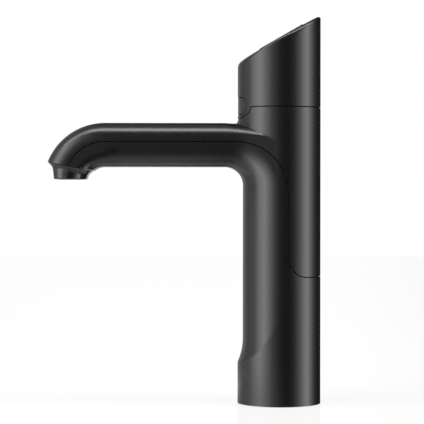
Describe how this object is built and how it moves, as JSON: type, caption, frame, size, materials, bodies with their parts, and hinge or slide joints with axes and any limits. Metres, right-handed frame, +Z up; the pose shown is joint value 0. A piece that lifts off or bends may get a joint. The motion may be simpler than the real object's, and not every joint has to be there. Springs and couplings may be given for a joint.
{
  "type": "boiling water tap",
  "caption": "Deck-mounted kitchen tap for boiling and chilled water: round column, slanted push-button head, wide flat spout that swings on a fixed base.",
  "frame": {"origin": "centre of the tap hole, on the worktop's top face that the gasket rests on", "axes": "+Z up along the column's axis; -X is the way the spout reaches, towards the user; -Y is the side that the picture shows"},
  "size_m": [0.1771, 0.054, 0.3363],
  "materials": {
    "black_casting": "matt black powder coat",
    "black_cap": "matt black",
    "smoked_lens": "smoked, satin",
    "boiling_button": "matt black with a red mark",
    "chilled_button": "matt black with a blue mark",
    "lock_button": "matt black",
    "nozzle_plastic": "satin black",
    "brass": "turned",
    "steel": "zinc plated",
    "rubber": "matt",
    "acetal": "natural",
    "tube": "translucent silicone",
    "circuit_board": "solder mask",
    "led_plastic": "diffused"
  },
  "bodies": {
    "base": {"deck_gasket": "rubber", "base_spigot": "brass", "threaded_shank": "brass", "stop_pin": "steel", "swivel_o_rings": "rubber", "thrust_washer": "acetal", "retaining_ring": "steel", "rubber_washer": "rubber", "steel_washer": "steel", "back_nut": "brass"},
    "tap": {"lower_body": "black_casting", "upper_shell": "black_casting", "head_cap": "black_cap", "shell_screws": "steel", "cap_grub_screw": "steel", "swivel_bush": "acetal", "control_fascia": "black_cap", "indicator_lens": "smoked_lens", "indicator_board": "circuit_board", "indicator_leds": "led_plastic", "indicator_lead": "rubber", "control_board": "circuit_board", "board_screws": "steel", "boiling_switch": "black_cap", "chilled_switch": "black_cap", "lock_switch": "black_cap", "control_cable": "rubber", "boiling_tube": "tube", "chilled_tube": "tube", "boiling_inlet": "brass", "chilled_inlet": "brass", "tube_guide": "acetal", "outlet_block": "acetal", "nozzle_seal": "rubber", "nozzle_insert": "nozzle_plastic", "nozzle_collar": "black_cap", "outlet_screws": "steel"},
    "boiling_push": {"boiling_button": "boiling_button", "boiling_plunger": "acetal"},
    "chilled_push": {"chilled_button": "chilled_button", "chilled_plunger": "acetal"},
    "lock_push": {"lock_button": "lock_button", "lock_plunger": "acetal"}
  },
  "joints": [
    {"name": "tap_swivel", "type": "hinge", "parent": "base", "child": "tap", "pos_m": [0, 0, 0], "axis": [0, 0, 1], "range_deg": [-60, 60]},
    {"name": "boiling_press", "type": "slide", "parent": "tap", "child": "boiling_push", "axis": [0.5, 0, -0.866], "range_m": [0, 0.0008], "stiffness_N_per_m": 2000, "springref_m": -0.0005},
    {"name": "chilled_press", "type": "slide", "parent": "tap", "child": "chilled_push", "axis": [0.5, 0, -0.866], "range_m": [0, 0.0008], "stiffness_N_per_m": 2000, "springref_m": -0.0005},
    {"name": "lock_press", "type": "slide", "parent": "tap", "child": "lock_push", "axis": [0.5, 0, -0.866], "range_m": [0, 0.0008], "stiffness_N_per_m": 2000, "springref_m": -0.0005}
  ]
}
